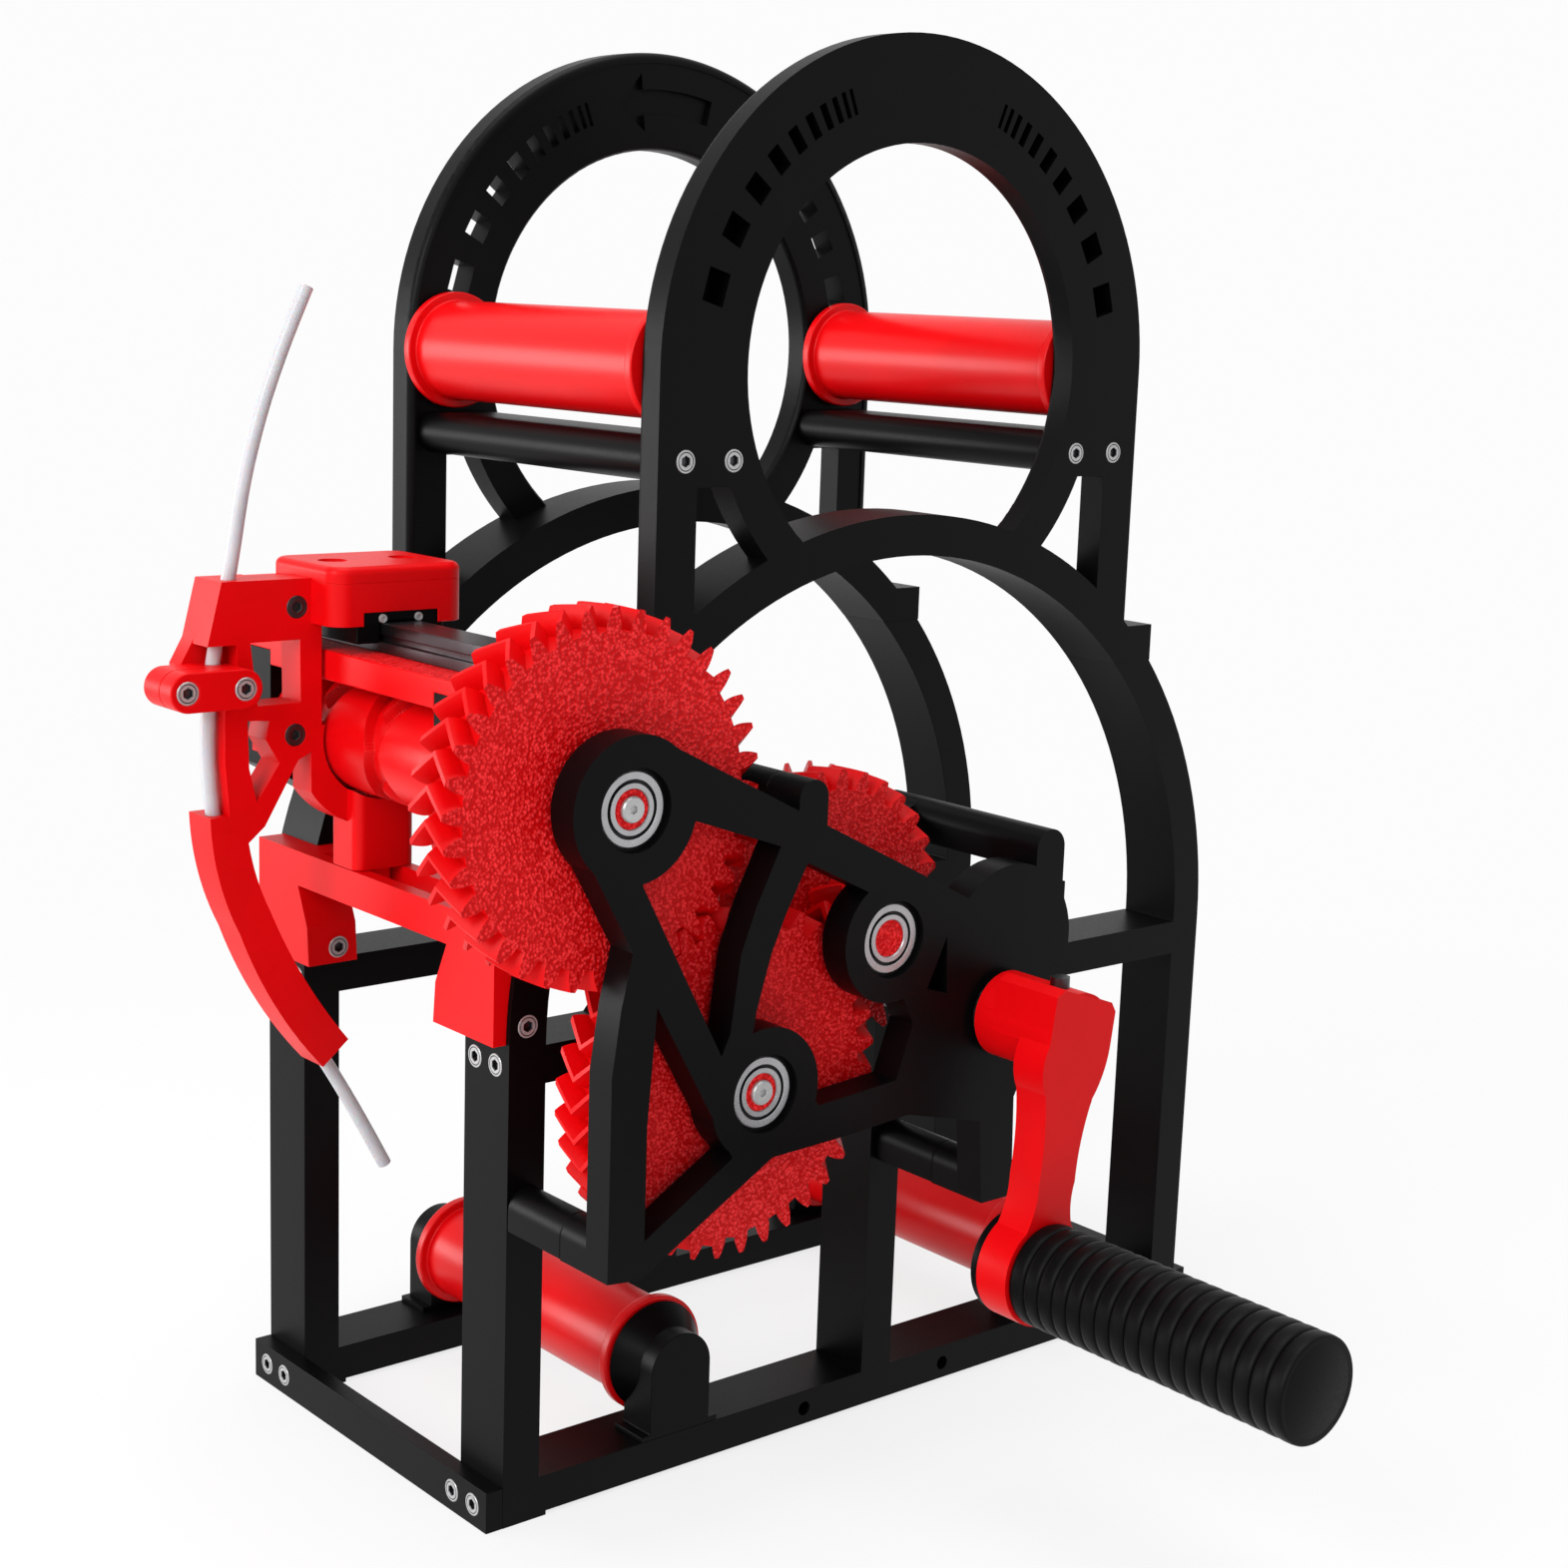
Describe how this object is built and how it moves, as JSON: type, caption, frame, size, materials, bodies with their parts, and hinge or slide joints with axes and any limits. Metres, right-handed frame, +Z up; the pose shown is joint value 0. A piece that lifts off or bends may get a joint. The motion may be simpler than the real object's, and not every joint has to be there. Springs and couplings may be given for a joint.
{
  "type": "filament spool winder",
  "caption": "Hand-cranked winder with two spool bays between arched side frames, a gear train and a sliding guide that lays filament evenly.",
  "frame": {"origin": "under the middle of the whole object's bounding box, on the surface it stands on", "axes": "+Z up, +Y to the back, away from the crank; +X to the right seen from the crank side"},
  "size_m": [0.3306, 0.2958, 0.3954],
  "materials": {
    "black_print": "satin printed plastic",
    "red_print": "satin printed plastic",
    "black_rubbery": "matt ribbed plastic",
    "steel_screw": "machined steel",
    "bearing_steel": "ground steel",
    "rail_steel": "blackened steel",
    "clear_tube": "translucent white plastic"
  },
  "bodies": {
    "frame": {"front_lower_frame": "black_print", "back_lower_frame": "black_print", "left_end_bar": "black_print", "right_end_bar": "black_print", "front_upper_frame": "black_print", "back_upper_frame": "black_print", "left_spacer_bar": "black_print", "right_spacer_bar": "black_print", "upper_roller_bearings": "bearing_steel", "lower_roller_bearings": "bearing_steel", "front_left_pedestal": "black_print", "back_left_pedestal": "black_print", "front_right_pedestal": "black_print", "back_right_pedestal": "black_print", "gear_plate": "black_print", "upper_standoff": "black_print", "left_standoff": "black_print", "middle_standoff": "black_print", "plate_bearings": "bearing_steel", "frame_bearings": "bearing_steel", "rail_beam": "red_print", "rail": "rail_steel", "follower_beam": "red_print", "end_bar_screws": "steel_screw", "cross_beam_screws": "steel_screw", "foot_screws": "steel_screw", "pad_screws": "steel_screw"},
    "crank": {"crank_arm": "red_print", "crank_grub_screw": "rail_steel", "crank_pinion": "red_print", "drive_shaft": "rail_steel", "handle_bolt": "black_print"},
    "grip": {"handle_grip": "black_rubbery"},
    "second_shaft": {"second_gear": "red_print"},
    "transfer_shaft": {"transfer_gear": "red_print"},
    "cam_shaft": {"cam_gear": "red_print", "barrel_cam": "red_print"},
    "carriage": {"carriage_block": "black_print", "carriage_body": "red_print", "carriage_lid": "red_print", "cam_follower": "red_print", "guide_plate": "red_print", "clamp_bar": "red_print", "clamp_screws": "steel_screw", "guide_screws": "rail_steel", "thread_tube": "clear_tube"},
    "left_upper_roller": {"left_upper_roller": "red_print"},
    "right_upper_roller": {"right_upper_roller": "red_print"},
    "left_lower_roller": {"left_lower_roller": "red_print"},
    "right_lower_roller": {"right_lower_roller": "red_print"}
  },
  "joints": [
    {"name": "crank_turn", "type": "hinge", "parent": "frame", "child": "crank", "pos_m": [0.02714, 0.082, 0.1327], "axis": [0, 1, 0], "continuous": true},
    {"name": "grip_turn", "type": "hinge", "parent": "crank", "child": "grip", "pos_m": [0.01784, -0.098, 0.06817], "axis": [0, 1, 0], "continuous": true},
    {"name": "second_turn", "type": "hinge", "parent": "frame", "child": "second_shaft", "pos_m": [-0.01409, 0.082, 0.15871], "axis": [0, 1, 0], "continuous": true},
    {"name": "transfer_turn", "type": "hinge", "parent": "frame", "child": "transfer_shaft", "pos_m": [-0.05667, 0.082, 0.1239], "axis": [0, 1, 0], "continuous": true},
    {"name": "cam_turn", "type": "hinge", "parent": "frame", "child": "cam_shaft", "pos_m": [-0.10023, 0.082, 0.20265], "axis": [0, 1, 0], "continuous": true},
    {"name": "carriage_slide", "type": "slide", "parent": "frame", "child": "carriage", "axis": [0, 1, 0], "range_m": [-0.041, 0.0125]},
    {"name": "left_upper_roller_turn", "type": "hinge", "parent": "frame", "child": "left_upper_roller", "pos_m": [-0.04836, 0.082, 0.3056], "axis": [0, 1, 0], "continuous": true},
    {"name": "right_upper_roller_turn", "type": "hinge", "parent": "frame", "child": "right_upper_roller", "pos_m": [0.10264, 0.082, 0.3056], "axis": [0, 1, 0], "continuous": true},
    {"name": "left_lower_roller_turn", "type": "hinge", "parent": "frame", "child": "left_lower_roller", "pos_m": [-0.04666, 0.082, 0.0302], "axis": [0, 1, 0], "continuous": true},
    {"name": "right_lower_roller_turn", "type": "hinge", "parent": "frame", "child": "right_lower_roller", "pos_m": [0.10094, 0.082, 0.0302], "axis": [0, 1, 0], "continuous": true}
  ],
  "couplings": [
    {"joint": "transfer_turn", "follows": "cam_turn", "ratio": -1},
    {"joint": "second_turn", "follows": "cam_turn", "ratio": 4.5},
    {"joint": "crank_turn", "follows": "cam_turn", "ratio": -17.438}
  ]
}
